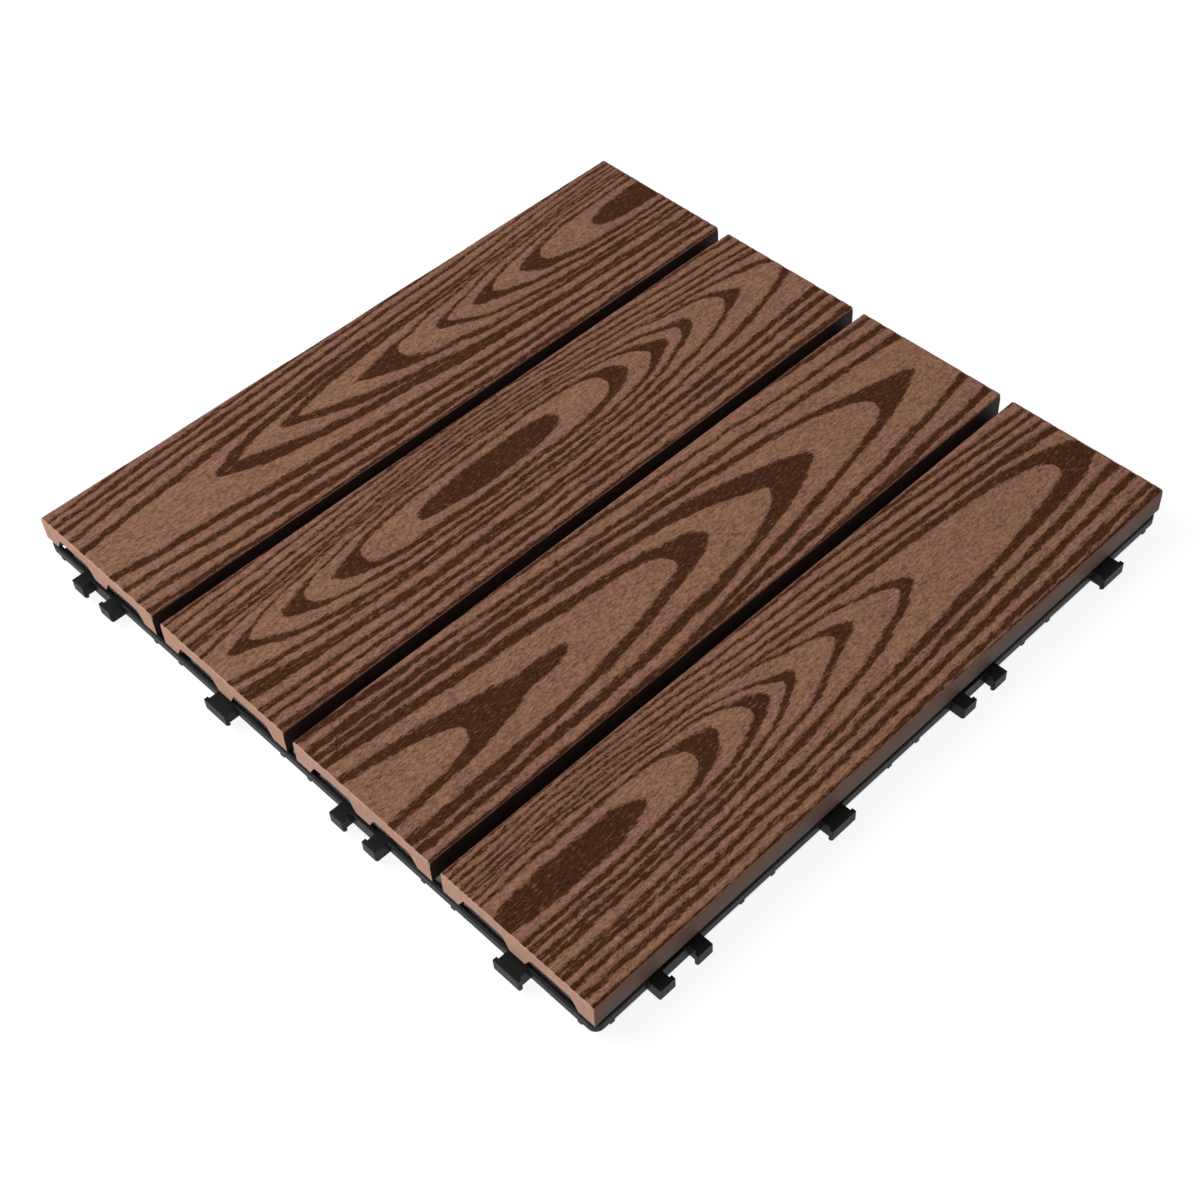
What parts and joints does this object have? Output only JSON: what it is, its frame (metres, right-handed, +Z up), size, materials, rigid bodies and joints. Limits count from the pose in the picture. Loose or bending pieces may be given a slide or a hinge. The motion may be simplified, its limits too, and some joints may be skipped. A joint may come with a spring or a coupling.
{
  "type": "interlocking deck tile",
  "caption": "Square outdoor floor tile of grooved wood-look composite slats screwed to a black plastic lattice base with interlocking tongues and sockets round its edge.",
  "frame": {"origin": "floor level under the middle of the tile", "axes": "+Z up, the slats run along Y, X crosses them"},
  "size_m": [0.311, 0.311, 0.022],
  "materials": {
    "base_plastic": "moulded, satin",
    "slat_composite": "embossed wood grain",
    "screw_steel": "zinc plated"
  },
  "bodies": {
    "root": {"base": "base_plastic", "slat_1": "slat_composite", "slat_2": "slat_composite", "slat_3": "slat_composite", "slat_4": "slat_composite", "screws": "screw_steel"}
  },
  "joints": []
}
